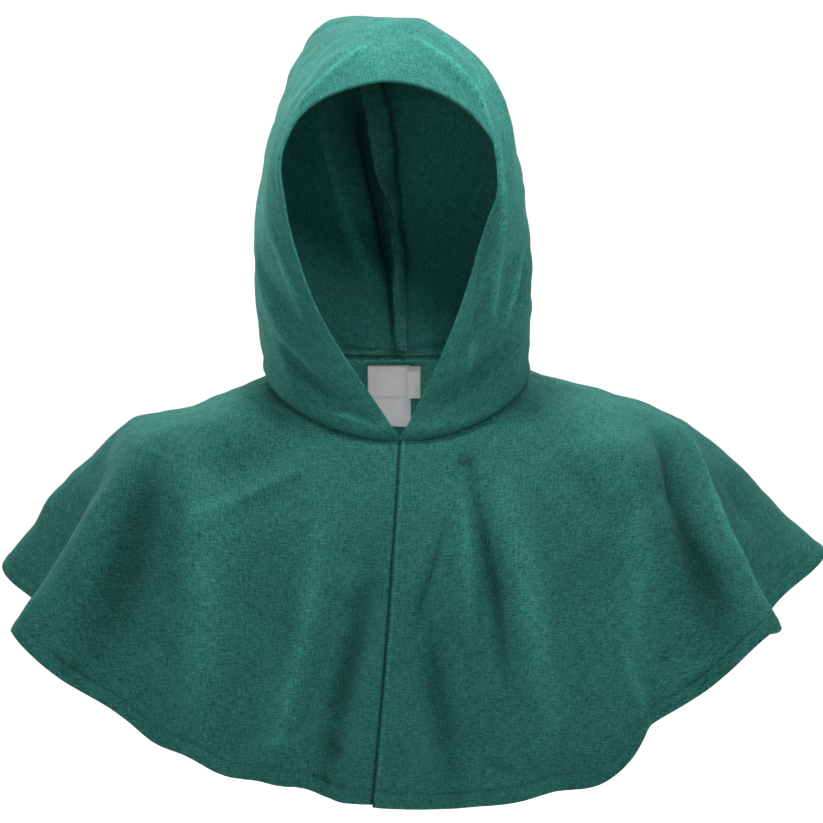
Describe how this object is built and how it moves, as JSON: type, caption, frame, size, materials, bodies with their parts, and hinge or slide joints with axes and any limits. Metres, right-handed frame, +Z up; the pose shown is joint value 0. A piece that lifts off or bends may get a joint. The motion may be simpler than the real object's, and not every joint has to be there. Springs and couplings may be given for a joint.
{
  "type": "hood with shoulder mantle",
  "caption": "Green cotton hood with an open face and a flared mantle that covers the shoulders, sewn from cloth and shown in the shape it takes when worn.",
  "frame": {"origin": "the inner side of the crown, straight above the middle of the neck, where the head carries the hood", "axes": "+Z up, -Y the way the face looks, +X to the right as seen from the front"},
  "size_m": [0.7138, 0.415, 0.6445],
  "materials": {
    "green_cotton": "matt heathered cotton canvas",
    "white_tape": "matt woven label tape"
  },
  "bodies": {
    "root": {"hood": "green_cotton", "face_hem": "green_cotton", "neck_seam_allowance": "green_cotton", "back_seam_allowance": "green_cotton", "mantle_left": "green_cotton", "mantle_left_hem": "green_cotton", "mantle_right": "green_cotton", "mantle_right_hem": "green_cotton", "front_seam_allowance": "green_cotton", "mantle_back_allowance": "green_cotton", "care_label": "white_tape", "main_label": "white_tape"}
  },
  "joints": []
}
